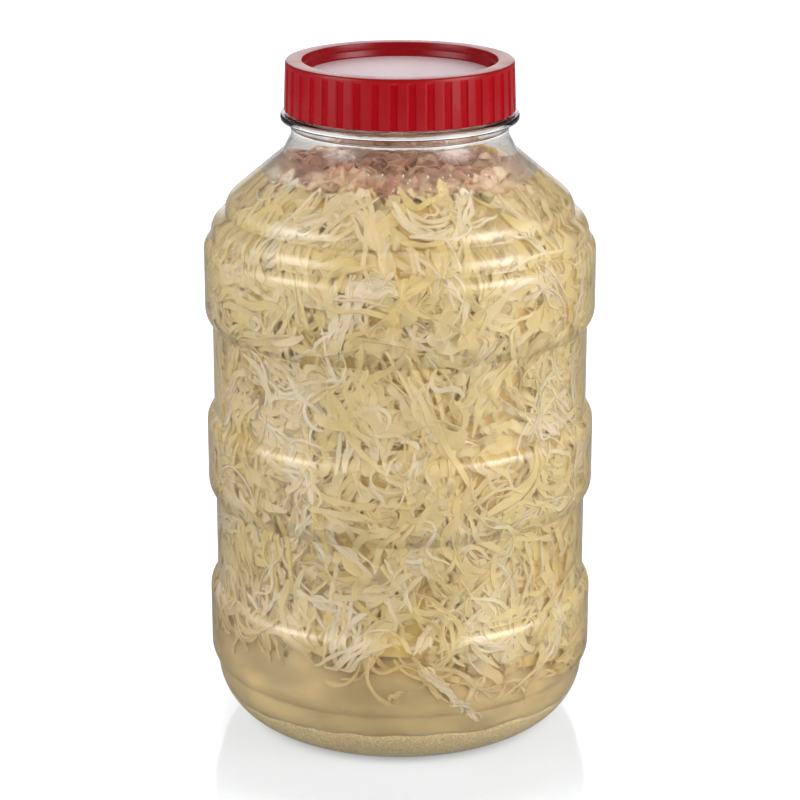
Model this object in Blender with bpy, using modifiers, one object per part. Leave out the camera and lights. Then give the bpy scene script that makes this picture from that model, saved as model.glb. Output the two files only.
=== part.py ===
"""Large clear jar of pickled cabbage shreds with a ribbed screw cap.

A blown clear jar with a stepped shoulder and three raised bands is closed by
a ribbed cap with a sunk top.  Inside it lie a thin layer of sediment, a layer
of cloudy brine and a heap of shreds that fills the rest up to the shoulder.
Units are metres, +Z is up, and the origin is the centre of the jar's base.
"""

import math
import random

import bmesh
import bpy
from mathutils import Vector

# Jar body: outer radii
NECK_R = 0.0468
NECK_RING_R = 0.0514
CONE_TOP_R = 0.0506
TIER_1_R = 0.0757
TIER_2_R = 0.0822
BAND_R = 0.0853
RECESS_R = 0.0821
HEEL_R = 0.0825

# Jar body: heights above the base
NECK_TOP_Z = 0.2868
RING_TOP_Z = 0.2740
RING_BOTTOM_Z = 0.2710
NECK_FOOT_Z = 0.2652
CONE_TOP_Z = 0.2575
TIER_1_FOOT_Z = 0.2311
TIER_2_FOOT_Z = 0.2207
BAND_1_FOOT_Z = 0.1824
BAND_2_TOP_Z = 0.1434
BAND_2_FOOT_Z = 0.1044
BAND_3_TOP_Z = 0.0651
BAND_3_FOOT_Z = 0.0273

# Jar body: roundings and wall
CONE_SLOPE = math.radians(40.1)
TIER_ROUND = 0.0088
BAND_TOP_ROUND = 0.0066
BAND_FOOT_ROUND = 0.0090
HEEL_ROUND = 0.0262
WALL = 0.0012
NECK_WALL = 0.0020

# Cap
CAP_R_TOP = 0.0491
CAP_R_FOOT = 0.0498
CAP_TOP_Z = 0.2966
CAP_FOOT_Z = 0.2749
CAP_EDGE = 0.0008
RIM_INNER_R = 0.0419
PANEL_R = 0.0402
PANEL_DEPTH = 0.0070
PANEL_STEP = 0.0006
PANEL_THICK = 0.0024
SKIRT_INNER_R = 0.0473
GROOVES = 40
GROOVE_WIDTH = 0.0033
GROOVE_DEPTH = 0.0005
GROOVE_TOP_DROP = 0.0017

# Contents
GAP = 0.0003
HEAP_GAP = 0.0014
FACE_RINGS = (0.030, 0.058)
SEDIMENT_TOP_Z = 0.0163
SEDIMENT_TILT = 0.0026
HEAP_FOOT_Z = 0.0420
HEAP_TOP_Z = 0.2480
CORE_INSET = 0.0036
WINDOW = 0.0045
SHRED_THICK = 0.0011
SIDE_SHREDS = 70
TOP_SHREDS = 13
SEED = 46

# Facets round the axis; the jar and the layers along its wall share one count,
# so the gap between them stays even
TURNS = 32
HEAP_TURNS = 24
CAP_TURNS = 40


def arc(centre_r, centre_z, radius, start, end, parts):
    """Points of an arc in the (radius, height) plane, angles from the +r axis."""
    points = []
    for i in range(parts + 1):
        angle = start + (end - start) * i / parts
        points.append((centre_r + radius * math.cos(angle), centre_z + radius * math.sin(angle)))
    return points


def shoulder_arc(inner, outer, rounding, crease_z, inset, parts):
    """Rounded top edge of a tier: from the crease above it down to its upright wall."""
    swing = math.acos(1.0 - (outer - inner) / rounding)
    centre_z = crease_z - rounding * math.sin(swing)
    small = rounding - inset
    swing = math.acos(max(-1.0, 1.0 - (outer - inner) / small))
    return arc(outer - rounding, centre_z, small, swing, 0.0, parts)


def foot_arc(outer, inner, rounding, crease_z, inset, parts):
    """Rounded lower edge of a band: from its upright wall down to the crease below it."""
    swing = math.acos(1.0 - (outer - inner) / rounding)
    centre_z = crease_z + rounding * math.sin(swing)
    small = rounding - inset
    swing = math.acos(max(-1.0, 1.0 - (outer - inner) / small))
    return arc(outer - rounding, centre_z, small, 0.0, -swing, parts)


def body_side(inset, parts, heel_parts):
    """Side of the jar from the top of the cone down to the base, moved in by inset."""
    normal = math.pi / 2.0 - CONE_SLOPE
    round_r = TIER_1_R - TIER_ROUND
    tangent_r = round_r + TIER_ROUND * math.cos(normal)
    tangent_z = CONE_TOP_Z - (tangent_r - CONE_TOP_R) * math.tan(CONE_SLOPE)
    round_z = tangent_z - TIER_ROUND * math.sin(normal)
    points = [(CONE_TOP_R - 0.80 * inset, CONE_TOP_Z - 0.60 * inset)]
    points += arc(round_r, round_z, TIER_ROUND - inset, normal, 0.0, parts)
    points += shoulder_arc(TIER_1_R, TIER_2_R, TIER_ROUND, TIER_1_FOOT_Z, inset, parts)
    points += shoulder_arc(TIER_2_R, BAND_R, BAND_TOP_ROUND, TIER_2_FOOT_Z, inset, parts)
    points += foot_arc(BAND_R, RECESS_R, BAND_FOOT_ROUND, BAND_1_FOOT_Z, inset, parts)
    points += shoulder_arc(RECESS_R, BAND_R, BAND_TOP_ROUND, BAND_2_TOP_Z, inset, parts)
    points += foot_arc(BAND_R, RECESS_R, BAND_FOOT_ROUND, BAND_2_FOOT_Z, inset, parts)
    points += shoulder_arc(RECESS_R, BAND_R, BAND_TOP_ROUND, BAND_3_TOP_Z, inset, parts)
    points += foot_arc(BAND_R, HEEL_R, BAND_FOOT_ROUND, BAND_3_FOOT_Z, inset, parts)
    floor = math.asin((HEEL_ROUND - inset) / HEEL_ROUND)
    stop = -min(floor, math.radians(80.0))
    points += arc(HEEL_R - HEEL_ROUND, HEEL_ROUND, HEEL_ROUND - inset, 0.0, stop, heel_parts)
    return points


def radius_at(side, height):
    """Radius of a side profile at a height."""
    if height >= side[0][1]:
        return side[0][0]
    for (r0, z0), (r1, z1) in zip(side, side[1:]):
        if z1 <= height <= z0:
            share = (z0 - height) / max(z0 - z1, 1e-9)
            return r0 + (r1 - r0) * share
    return side[-1][0]


INNER_SIDE = body_side(WALL, 2, 5)
FLOOR_Z = INNER_SIDE[-1][1]


def clear_radius(height):
    """Smallest inner wall radius within the window round a height."""
    steps = 7
    radii = []
    for i in range(steps):
        shift = WINDOW * (2.0 * i / (steps - 1) - 1.0)
        radii.append(radius_at(INNER_SIDE, height + shift))
    return min(radii)


def sediment_top(x, y):
    """Height of the sediment's uneven surface."""
    tilt = -SEDIMENT_TILT * y / HEEL_R
    ripple = 0.0007 * math.sin(95.0 * x + 0.6) * math.cos(80.0 * y + 1.1)
    return SEDIMENT_TOP_Z + tilt + ripple


def heap_foot(x, y):
    """Height of the ragged underside of the heap; it sags to the right."""
    sag = -0.0105 * x / HEEL_R
    front = -0.0080 * y / HEEL_R
    ripple = 0.0018 * math.sin(80.0 * x + 1.3) + 0.0014 * math.cos(90.0 * y + 0.4)
    return HEAP_FOOT_Z + sag + front + ripple


def heap_top(x, y):
    """Height of the uneven top of the heap."""
    ripple = 0.0028 * math.sin(115.0 * x + 0.5) * math.cos(97.0 * y)
    return HEAP_TOP_Z + ripple + 0.0014 * math.sin(190.0 * y + 2.0)


def new_collection(name):
    collection = bpy.data.collections.new(name)
    bpy.context.scene.collection.children.link(collection)
    return collection


def make_material(name, color, roughness, transmission=0.0):
    material = bpy.data.materials.new(name)
    material.use_nodes = True
    shader = material.node_tree.nodes["Principled BSDF"]
    shader.inputs["Base Color"].default_value = (*color, 1.0)
    shader.inputs["Roughness"].default_value = roughness
    shader.inputs["Metallic"].default_value = 0.0
    shader.inputs["Transmission Weight"].default_value = transmission
    material.diffuse_color = (*color, 1.0)
    return material


def turned(name, points, turns, collection):
    """Turn a profile round the Z axis; it starts and ends on the axis."""
    mesh = bpy.data.meshes.new(name)
    bm = bmesh.new()
    verts = [bm.verts.new((r, 0.0, z)) for r, z in points]
    for a, b in zip(verts, verts[1:]):
        bm.edges.new((a, b))
    bm.to_mesh(mesh)
    bm.free()
    obj = bpy.data.objects.new(name, mesh)
    collection.objects.link(obj)
    screw = obj.modifiers.new("turn", "SCREW")
    screw.axis = "Z"
    screw.angle = 2.0 * math.pi
    screw.steps = turns
    screw.render_steps = turns
    screw.use_merge_vertices = True
    screw.merge_threshold = 0.00002
    return obj


def bake(obj):
    """Replace the object's mesh by its evaluated mesh and drop the modifiers."""
    bpy.context.view_layer.update()
    depsgraph = bpy.context.evaluated_depsgraph_get()
    mesh = bpy.data.meshes.new_from_object(obj.evaluated_get(depsgraph))
    obj.modifiers.clear()
    old = obj.data
    obj.data = mesh
    bpy.data.meshes.remove(old)
    mesh.name = obj.name
    return obj


def finish(obj, material, sharp=32.0):
    obj.data.materials.clear()
    obj.data.materials.append(material)
    obj.data.shade_smooth()
    obj.data.set_sharp_from_angle(angle=math.radians(sharp))


def keep_largest(obj):
    """Keep the one outer body: sealed hollows are filled and loose scraps dropped."""
    bm = bmesh.new()
    bm.from_mesh(obj.data)
    left = set(bm.faces)
    islands = []
    while left:
        seed = left.pop()
        island = {seed}
        stack = [seed]
        while stack:
            face = stack.pop()
            for edge in face.edges:
                for other in edge.link_faces:
                    if other in left:
                        left.discard(other)
                        island.add(other)
                        stack.append(other)
        islands.append(island)
    islands.sort(key=len, reverse=True)
    drop = [face for island in islands[1:] for face in island]
    if drop:
        bmesh.ops.delete(bm, geom=drop, context="FACES")
    loose = [vert for vert in bm.verts if not vert.link_faces]
    if loose:
        bmesh.ops.delete(bm, geom=loose, context="VERTS")
    # Vertices on a straight edge of two faces only would give overlapping triangles
    bmesh.ops.remove_doubles(bm, verts=bm.verts, dist=0.00003)
    spare = [vert for vert in bm.verts if len(vert.link_edges) == 2]
    bmesh.ops.dissolve_verts(bm, verts=spare)
    bmesh.ops.triangulate(bm, faces=bm.faces)
    bmesh.ops.recalc_face_normals(bm, faces=bm.faces)
    bm.to_mesh(obj.data)
    bm.free()


def build_jar(parts, material):
    outer = body_side(0.0, 3, 6)
    inner = list(reversed(INNER_SIDE))
    points = [(0.0, FLOOR_Z)]
    points += inner
    points.append((NECK_R - NECK_WALL, NECK_FOOT_Z - 0.3 * WALL))
    points.append((NECK_R - NECK_WALL, NECK_TOP_Z))
    points.append((NECK_R, NECK_TOP_Z))
    points.append((NECK_R, RING_TOP_Z))
    points.append((NECK_RING_R - 0.0006, RING_TOP_Z))
    points.append((NECK_RING_R, 0.5 * (RING_TOP_Z + RING_BOTTOM_Z)))
    points.append((NECK_RING_R - 0.0006, RING_BOTTOM_Z))
    points.append((NECK_R, RING_BOTTOM_Z))
    points.append((NECK_R, NECK_FOOT_Z))
    points += outer[:-1]
    points.append((outer[-1][0], 0.0))
    points.append((0.0, 0.0))
    jar = bake(turned("jar", points, TURNS, parts))
    finish(jar, material)
    return jar


def build_cap(parts, cutters, material):
    """Cup with a sunk top panel; forty grooves are cut into its skirt."""
    panel_z = CAP_TOP_Z - PANEL_DEPTH
    half_z = CAP_TOP_Z - 0.5 * PANEL_DEPTH
    underside = panel_z - PANEL_THICK
    points = [
        (0.0, panel_z),
        (PANEL_R, panel_z),
        (RIM_INNER_R - PANEL_STEP - 0.0002, half_z),
        (RIM_INNER_R - 0.0002, half_z + PANEL_STEP),
        (RIM_INNER_R, CAP_TOP_Z),
        (CAP_R_TOP - CAP_EDGE, CAP_TOP_Z),
        (CAP_R_TOP, CAP_TOP_Z - CAP_EDGE),
        (CAP_R_FOOT, CAP_FOOT_Z),
        (SKIRT_INNER_R, CAP_FOOT_Z),
        (SKIRT_INNER_R, underside),
        (0.0, underside),
    ]
    cap = turned("lid", points, CAP_TURNS, parts)

    mesh = bpy.data.meshes.new("grooves")
    bm = bmesh.new()
    length = 0.03
    centre_z = CAP_TOP_Z - GROOVE_TOP_DROP - length / 2.0
    lean = math.atan2(CAP_R_FOOT - CAP_R_TOP, CAP_TOP_Z - CAP_FOOT_Z)
    floor_r = CAP_R_TOP + (length / 2.0 + GROOVE_TOP_DROP) * math.tan(lean) - GROOVE_DEPTH
    deep = 0.004
    for i in range(GROOVES):
        angle = 2.0 * math.pi * i / GROOVES
        cube = bmesh.ops.create_cube(bm, size=1.0)
        for vert in cube["verts"]:
            x = vert.co.x * deep + deep / 2.0
            y = vert.co.y * GROOVE_WIDTH
            z = vert.co.z * length
            radial = floor_r + x - z * math.tan(lean)
            vert.co.x = radial * math.cos(angle) - y * math.sin(angle)
            vert.co.y = radial * math.sin(angle) + y * math.cos(angle)
            vert.co.z = centre_z + z
    bm.to_mesh(mesh)
    bm.free()
    cutter = bpy.data.objects.new("grooves", mesh)
    cutters.objects.link(cutter)
    cutter.hide_render = True
    cutter.display_type = "WIRE"

    cut = cap.modifiers.new("grooves", "BOOLEAN")
    cut.operation = "DIFFERENCE"
    cut.solver = "EXACT"
    cut.object = cutter
    bake(cap)
    finish(cap, material)
    return cap


def layered(name, rings, face_rings, turns, parts, low, high, wall):
    """Round body with uneven lower and upper faces.

    rings counts the side's levels, face_rings holds the radii of the rings across
    both faces, low and high give the faces' heights and wall the side's radius."""
    points = [(0.0, 1.0)]
    for radius in face_rings:
        points.append((radius, 1.0))
    for i in range(rings + 1):
        points.append((1.0, 1.0 - i / rings))
    for radius in reversed(face_rings):
        points.append((radius, 0.0))
    points.append((0.0, 0.0))
    obj = bake(turned(name, points, turns, parts))
    for vert in obj.data.vertices:
        flat = math.hypot(vert.co.x, vert.co.y)
        level = vert.co.z
        cosine = vert.co.x / flat if flat > 1e-7 else 1.0
        sine = vert.co.y / flat if flat > 1e-7 else 0.0
        on_side = flat > 0.9
        height = 0.5 * (low(0.0, 0.0) + high(0.0, 0.0))
        for _ in range(4):
            radius = wall(height) if on_side else flat
            x = radius * cosine
            y = radius * sine
            height = low(x, y) + level * (high(x, y) - low(x, y))
        vert.co = (x, y, height)
    obj.data.update()
    return obj


def build_sediment(parts, material):
    def wall(height):
        return radius_at(INNER_SIDE, height) - GAP

    def floor(x, y):
        return FLOOR_Z + GAP

    obj = layered("sediment", 4, FACE_RINGS, TURNS, parts, floor, sediment_top, wall)
    finish(obj, material)
    return obj


def build_brine(parts, cutters, material):
    """Turned body along the wall, cut to the sediment below and the heap above."""
    low_z = SEDIMENT_TOP_Z - 0.006
    high_z = HEAP_FOOT_Z + 0.026
    side = [(r - GAP, z) for r, z in INNER_SIDE if low_z < z < high_z]
    points = [(0.0, high_z), (radius_at(INNER_SIDE, high_z) - GAP, high_z)]
    points += side
    points += [(radius_at(INNER_SIDE, low_z) - GAP, low_z), (0.0, low_z)]
    obj = turned("brine", points, TURNS, parts)

    def reach(height):
        return 1.1 * BAND_R

    def low(x, y):
        return sediment_top(x, y) + 3.0 * GAP

    def high(x, y):
        return heap_foot(x, y) - HEAP_GAP

    face_rings = (*FACE_RINGS, 0.0785)
    slab = layered("brine_slab", 1, face_rings, HEAP_TURNS, cutters, low, high, reach)
    slab.hide_render = True
    slab.display_type = "WIRE"
    cut = obj.modifiers.new("slab", "BOOLEAN")
    cut.operation = "INTERSECT"
    cut.solver = "EXACT"
    cut.object = slab
    bake(obj)
    finish(obj, material)
    return obj


def core_radius(height):
    return clear_radius(height) - CORE_INSET


def build_core(parts):
    """Bare core of the heap, inside the shreds that show."""
    points = [(0.0, heap_top(0.0, 0.0))]
    levels = 12
    top = HEAP_TOP_Z
    foot = HEAP_FOOT_Z
    for radius in (0.020, 0.038):
        points.append((radius, top))
    for i in range(levels + 1):
        height = top + (foot - top) * i / levels
        points.append((core_radius(height), height))
    for radius in reversed(FACE_RINGS):
        points.append((radius, foot))
    points.append((0.0, foot))
    obj = bake(turned("sauerkraut", points, HEAP_TURNS, parts))
    for vert in obj.data.vertices:
        x, y, level = vert.co
        share = (level - foot) / (top - foot)
        flat = math.hypot(x, y)
        angle = math.atan2(y, x)
        on_side = flat > 0.065 or (flat > 0.045 and share > 0.9)
        height = level
        for _ in range(4):
            if on_side:
                bump = 0.0006 * math.sin(9.0 * angle + 260.0 * level)
                bump += 0.0004 * math.sin(5.0 * angle - 190.0 * level)
                radius = core_radius(height) + bump - 0.0002
                x = radius * math.cos(angle)
                y = radius * math.sin(angle)
            height = level + (1.0 - share) ** 3 * (heap_foot(x, y) - foot)
            height += share ** 3 * (heap_top(x, y) - top)
        vert.co = (x, y, height)
    obj.data.update()
    return obj


def ribbon(name, frames, collection, thickness):
    """Flat strip through a row of (centre, half-width vector) frames."""
    mesh = bpy.data.meshes.new(name)
    bm = bmesh.new()
    count = len(frames)
    bmesh.ops.create_grid(bm, x_segments=count - 1, y_segments=1, size=0.5)
    for vert in bm.verts:
        index = round((vert.co.x + 0.5) * (count - 1))
        centre, half = frames[index]
        vert.co = centre + (half if vert.co.y > 0.0 else -half)
    bm.to_mesh(mesh)
    bm.free()
    obj = bpy.data.objects.new(name, mesh)
    collection.objects.link(obj)
    shell = obj.modifiers.new("thickness", "SOLIDIFY")
    shell.thickness = thickness
    shell.offset = 0.0
    return obj


def side_shred(name, rng, angle, height, collection):
    """Curled strip lying on the core's side, between the core and the wall."""
    count = 5
    step = rng.uniform(0.0062, 0.0092)
    heading = rng.uniform(-0.9, 0.9) + (math.pi if rng.random() < 0.5 else 0.0)
    bend = rng.uniform(-0.40, 0.40)
    width = rng.uniform(0.0019, 0.0030)
    frames = []
    for i in range(count):
        share = i / (count - 1)
        lift = -0.0010 + 0.0024 * math.sin(math.pi * share) ** 0.5
        radius = core_radius(height) + lift
        out = Vector((math.cos(angle), math.sin(angle), 0.0))
        side = Vector((-math.sin(angle), math.cos(angle), 0.0))
        along = side * math.cos(heading) + Vector((0.0, 0.0, math.sin(heading)))
        across = out.cross(along)
        across = across * math.cos(0.25) + out * math.sin(0.25) * math.sin(3.0 * share + bend * 5.0)
        taper = 0.6 + 0.4 * math.sin(math.pi * min(1.0, 0.2 + share))
        frames.append((out * radius + Vector((0.0, 0.0, height)), across * width * taper))
        angle += step * math.cos(heading) / radius
        height += step * math.sin(heading)
        lowest = heap_foot(radius * math.cos(angle), radius * math.sin(angle)) + 0.0045
        height = min(max(height, lowest), HEAP_TOP_Z - 0.004)
        heading += bend
    return ribbon(name, frames, collection, SHRED_THICK)


def top_shred(name, rng, angle, distance, collection):
    """Curled strip that stands up from the heap's top."""
    count = 5
    turn = rng.uniform(0.0, 2.0 * math.pi)
    bend = rng.uniform(-0.4, 0.4)
    length = rng.uniform(0.018, 0.026)
    width = rng.uniform(0.0018, 0.0026)
    height = rng.uniform(0.0035, 0.0060)
    x = distance * math.cos(angle) - 0.5 * length * math.cos(turn)
    y = distance * math.sin(angle) - 0.5 * length * math.sin(turn)
    frames = []
    for i in range(count):
        share = i / (count - 1)
        along = Vector((math.cos(turn), math.sin(turn), 0.0))
        across = Vector((-along.y, along.x, 0.0))
        across = across * math.cos(0.5) + Vector((0.0, 0.0, math.sin(0.5)))
        z = heap_top(x, y) - 0.0012 + height * math.sin(math.pi * share)
        frames.append((Vector((x, y, z)), across * width))
        x += length / (count - 1) * math.cos(turn)
        y += length / (count - 1) * math.sin(turn)
        turn += bend
    return ribbon(name, frames, collection, SHRED_THICK)


def build_heap(parts, material):
    """Core with the shreds that show fused on by one union."""
    core = build_core(parts)
    shreds = new_collection("shreds")
    rng = random.Random(SEED)
    golden = math.pi * (3.0 - math.sqrt(5.0))
    low = HEAP_FOOT_Z + 0.016
    high = HEAP_TOP_Z - 0.008
    for i in range(SIDE_SHREDS):
        height = low + (high - low) * (i + 0.5) / SIDE_SHREDS
        side_shred(f"shred_{i:03d}", rng, i * golden, height, shreds)
    reach = core_radius(HEAP_TOP_Z) - 0.015
    for i in range(TOP_SHREDS):
        distance = reach * math.sqrt((i + 0.5) / TOP_SHREDS)
        top_shred(f"top_shred_{i:03d}", rng, i * golden + 0.7, distance, shreds)
    join = core.modifiers.new("shreds", "BOOLEAN")
    join.operation = "UNION"
    join.solver = "EXACT"
    join.operand_type = "COLLECTION"
    join.collection = shreds
    bake(core)
    for obj in list(shreds.objects):
        mesh = obj.data
        bpy.data.objects.remove(obj, do_unlink=True)
        bpy.data.meshes.remove(mesh)
    bpy.data.collections.remove(shreds)
    keep_largest(core)
    finish(core, material, 40.0)
    return core


def main():
    for obj in list(bpy.data.objects):
        bpy.data.objects.remove(obj, do_unlink=True)
    parts = new_collection("sauerkraut_jar")
    cutters = new_collection("cutters")
    clear = make_material("clear_plastic", (0.93, 0.95, 0.94), 0.05, 0.95)
    red = make_material("red_plastic", (0.52, 0.008, 0.018), 0.25)
    cabbage = make_material("pickled_cabbage", (0.78, 0.66, 0.36), 0.45)
    cloudy = make_material("cloudy_brine", (0.52, 0.38, 0.17), 0.2)
    settled = make_material("sediment", (0.55, 0.40, 0.19), 0.7)
    build_jar(parts, clear)
    build_cap(parts, cutters, red)
    build_heap(parts, cabbage)
    build_brine(parts, cutters, cloudy)
    build_sediment(parts, settled)


if __name__ == "__main__":
    main()
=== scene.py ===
"""Looks of a large clear jar of pickled cabbage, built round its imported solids.

The jar, cap and contents are rebuilt as smooth pieces in the solids' own frame:
metres, +Z up, origin at the centre of the base, the shown side facing -Y.
"""

import math

import bmesh
import bpy
import numpy as np
from bpy.props import FloatProperty, FloatVectorProperty, IntProperty, PointerProperty
from mathutils import Matrix, Vector


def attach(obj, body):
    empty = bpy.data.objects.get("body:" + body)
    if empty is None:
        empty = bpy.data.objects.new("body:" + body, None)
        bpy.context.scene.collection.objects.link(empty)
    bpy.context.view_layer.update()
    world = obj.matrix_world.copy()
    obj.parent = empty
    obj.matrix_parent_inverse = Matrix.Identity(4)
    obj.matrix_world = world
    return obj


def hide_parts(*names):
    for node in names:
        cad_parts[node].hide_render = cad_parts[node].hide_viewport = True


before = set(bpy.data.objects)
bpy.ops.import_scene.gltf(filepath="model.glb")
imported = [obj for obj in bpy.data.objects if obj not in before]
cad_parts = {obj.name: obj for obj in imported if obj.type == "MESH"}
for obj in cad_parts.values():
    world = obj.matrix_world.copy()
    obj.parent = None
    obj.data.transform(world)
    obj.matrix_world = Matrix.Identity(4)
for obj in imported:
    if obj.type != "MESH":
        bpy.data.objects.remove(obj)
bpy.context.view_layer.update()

bl_info = {
    "name": "Pickled cabbage jar",
    "version": (1, 0, 0),
    "blender": (4, 5, 0),
    "location": "View3D > Sidebar > Jar",
    "description": "Clear banded jar with a ribbed cap, filled with cabbage shreds in brine",
    "category": "Object",
}


FULL_TURN = 2.0 * math.pi
GIRTH_R = 0.080  # radius at which arc length round the heap is counted
TILT_R = 0.0825  # radius at which the contents' tilts and sags are counted
LIQUID_LAP = 0.00018  # how far the clear brine reaches into the wall
EDGE = 0.0004  # small roundings of the neck and of the creases


def length(name, description, default):
    return FloatProperty(name=name, description=description, default=default, unit="LENGTH", precision=4)


def number(name, description, default, subtype="NONE"):
    return FloatProperty(name=name, description=description, default=default, subtype=subtype)


def colour(name, description, default):
    return FloatVectorProperty(
        name=name, description=description, default=default, subtype="COLOR", size=3, min=0.0, max=1.0
    )


class JarSizes(bpy.types.PropertyGroup):
    """Outer sizes of the clear jar."""

    neck_r: length("Neck radius", "Outer radius of the neck", 0.0468)
    ring_r: length("Neck ring radius", "Radius of the ring under the cap", 0.0514)
    cone_r: length("Cone radius", "Radius where the shoulder cone starts", 0.0506)
    tier_1_r: length("First tier radius", "Radius of the upper shoulder tier", 0.0757)
    tier_2_r: length("Second tier radius", "Radius of the lower shoulder tier", 0.0822)
    band_r: length("Band radius", "Radius of the three raised bands", 0.0853)
    recess_r: length("Recess radius", "Radius of the wall between bands", 0.0821)
    heel_r: length("Heel radius", "Radius at the top of the rounded heel", 0.0825)
    mouth_z: length("Mouth height", "Height of the neck's rim", 0.2868)
    ring_top_z: length("Ring top", "Top of the neck ring", 0.2740)
    ring_foot_z: length("Ring foot", "Underside of the neck ring", 0.2710)
    neck_foot_z: length("Neck foot", "Height where the neck starts to flare", 0.2652)
    cone_z: length("Cone top", "Height where the shoulder cone starts", 0.2575)
    tier_1_z: length("First crease", "Crease under the upper tier", 0.2311)
    tier_2_z: length("Second crease", "Crease under the lower tier", 0.2207)
    band_1_foot_z: length("Top band foot", "Crease under the top band", 0.1824)
    band_2_top_z: length("Middle band top", "Crease over the middle band", 0.1434)
    band_2_foot_z: length("Middle band foot", "Crease under the middle band", 0.1044)
    band_3_top_z: length("Low band top", "Crease over the lowest band", 0.0651)
    band_3_foot_z: length("Low band foot", "Crease under the lowest band", 0.0273)
    tier_round: length("Tier rounding", "Rounding of the shoulder tiers", 0.0088)
    band_top_round: length("Band top rounding", "Rounding of each band's upper edge", 0.0066)
    band_foot_round: length("Band foot rounding", "Rounding of each band's lower edge", 0.0090)
    heel_round: length("Heel rounding", "Rounding of the heel", 0.0262)
    wall: length("Wall", "Thickness of the clear wall", 0.0012)
    neck_wall: length("Neck wall", "Thickness of the neck", 0.0012)
    cone_slope: number("Cone slope", "Slope of the shoulder cone", math.radians(40.1), "ANGLE")
    turns: IntProperty(name="Facets", description="Facets round the jar", default=160, min=32, max=256)


class CapSizes(bpy.types.PropertyGroup):
    """Sizes of the ribbed cap."""

    top_r: length("Top radius", "Outer radius at the top", 0.0491)
    foot_r: length("Foot radius", "Outer radius at the lower edge", 0.0498)
    top_z: length("Top", "Height of the rim", 0.2966)
    foot_z: length("Foot", "Height of the lower edge", 0.2749)
    rim_r: length("Rim inner radius", "Inner radius of the rim", 0.0419)
    panel_r: length("Panel radius", "Radius of the sunk panel", 0.0402)
    panel_depth: length("Panel depth", "Depth of the sunk panel", 0.0060)
    panel_thick: length("Panel thickness", "Thickness of the sunk panel", 0.0024)
    skirt_r: length("Skirt inner radius", "Inner radius of the skirt", 0.0473)
    groove_depth: length("Groove depth", "Depth of the grooves between ribs", 0.00055)
    groove_share: number("Groove share", "Share of the pitch that is groove", 0.40, "FACTOR")
    ribs: IntProperty(name="Ribs", description="Ribs round the skirt", default=40, min=8, max=90)


class FillSizes(bpy.types.PropertyGroup):
    """Sizes of what the jar holds."""

    level_z: length("Brine level", "Height of the clear brine's surface", 0.2488)
    sediment_z: length("Sediment top", "Mean height of the sediment", 0.0163)
    sediment_tilt: length("Sediment tilt", "Rise of the sediment towards the front", 0.0026)
    foot_z: length("Heap foot", "Mean height of the heap's underside", 0.0420)
    top_z: length("Heap top", "Mean height of the heap's top", 0.2500)
    cloud_r: length("Cloudy radius", "Radius of the cloudy brine over the heel", 0.0812)
    core_inset: length("Core inset", "Depth of the bare core behind the wall", 0.0062)
    shred_width: length("Shred width", "Mean width of a shred", 0.0028)
    shred_length: length("Shred length", "Mean length of a shred", 0.0250)
    seed: IntProperty(name="Seed", description="Seed of the shreds' places", default=7)


class JarColours(bpy.types.PropertyGroup):
    """Colours of the jar, cap and contents."""

    clear: colour("Clear plastic", "Tint of the jar", (0.992, 0.990, 0.985))
    # Darker warm tint of the wall at a low angle: the long way through the wall, made strong as painted
    # shade on the jar's sides.
    clear_edge: colour("Clear edge", "Tint of the jar's wall at a low angle", (0.68, 0.63, 0.54))
    cap: colour("Cap", "Colour of the cap", (0.40, 0.002, 0.007))
    # Pale colour that the sunk panel's base colour turns to at a low angle: painted sheen.
    cap_sheen: colour("Cap sheen", "Colour of the sunk panel at a low angle", (1.0, 0.74, 0.78))
    cream: colour("Cream shreds", "Palest shreds", (0.96, 0.845, 0.605))
    yellow: colour("Yellow shreds", "Yellowest shreds", (0.93, 0.795, 0.39))
    white: colour("White ribs", "Thick pale rib pieces", (1.0, 0.935, 0.815))
    shaded: colour("Shaded shreds", "Shreds on top, in the cap's red light", (0.69, 0.385, 0.275))
    # Murk: deep shreds and the packed core fade to it: the brine's murk and painted shade between the layers
    # of shreds.
    murk: colour("Murk", "What deep shreds fade to", (0.74, 0.51, 0.15))
    brine: colour("Clear brine", "Tint of the clear brine", (0.985, 0.955, 0.87))
    cloud: colour("Cloudy brine", "Colour of the cloudy layer", (0.60, 0.46, 0.24))
    sediment: colour("Sediment", "Colour of the settled grains", (0.85, 0.65, 0.36))


class StageSettings(bpy.types.PropertyGroup):
    """Camera and lights."""

    camera_distance: length("Camera distance", "Distance in front of the axis", 1.1115)
    camera_height: length("Camera height", "Height over the floor", 0.4926)
    camera_pitch: number("Camera pitch", "Downward tilt", 0.3038, "ANGLE")
    camera_lens: number("Lens", "Focal length in mm on 36 mm", 118.19)
    surround: number("Surround", "Strength of the unseen part of the studio", 0.16)
    # The floor glows less near the jar than away from it, and little under its base: painted shadow.
    floor_glow: number("Floor glow", "Light of the backlit white floor near the jar", 0.58)
    floor_far: number("Far floor", "Light that the floor gains away from the jar", 0.36)
    floor_lift: number("Floor lift", "Light that the floor throws up at the jar", 0.9)
    left_box: number("Left softbox", "Power of the left softbox in watts", 40.0)
    right_box: number("Right softbox", "Power of the right softbox in watts", 56.0)
    back_box: number("Back softbox", "Power of the back softbox in watts", 26.0)
    behind: number("Backdrop gloss", "Strength of the backdrop in reflections", 1.3)


GROUPS = {
    "jar_sizes": JarSizes,
    "cap_sizes": CapSizes,
    "fill_sizes": FillSizes,
    "jar_colours": JarColours,
    "stage_settings": StageSettings,
}


def settings(name):
    return getattr(bpy.context.scene, name)


# Turned profiles


def arc(centre_r, centre_z, radius, start, end, parts):
    """Points of an arc in the (radius, height) plane."""
    turn = [start + (end - start) * i / parts for i in range(parts + 1)]
    return [(centre_r + radius * math.cos(a), centre_z + radius * math.sin(a)) for a in turn]


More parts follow.
